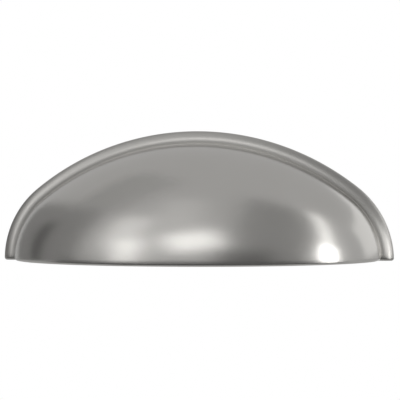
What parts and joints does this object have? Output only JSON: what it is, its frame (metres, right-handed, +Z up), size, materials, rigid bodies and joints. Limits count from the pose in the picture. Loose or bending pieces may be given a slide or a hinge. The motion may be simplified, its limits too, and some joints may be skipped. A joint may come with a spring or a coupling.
{
  "type": "cup pull",
  "caption": "Low arched cup pull with a beaded flange round a hollow half dome, open below for the fingers and screwed on from behind.",
  "frame": {"origin": "on the flange's back plane, midway between the two mounting screws", "axes": "+Z up on the drawer front, +X along the pull, +Y into the drawer front, so the cup stands out towards -Y and opens towards -Z"},
  "size_m": [0.095, 0.025, 0.0313],
  "materials": {
    "satin_nickel": "satin nickel plate on die-cast zinc"
  },
  "bodies": {
    "root": {"cup_pull": "satin_nickel"}
  },
  "joints": []
}
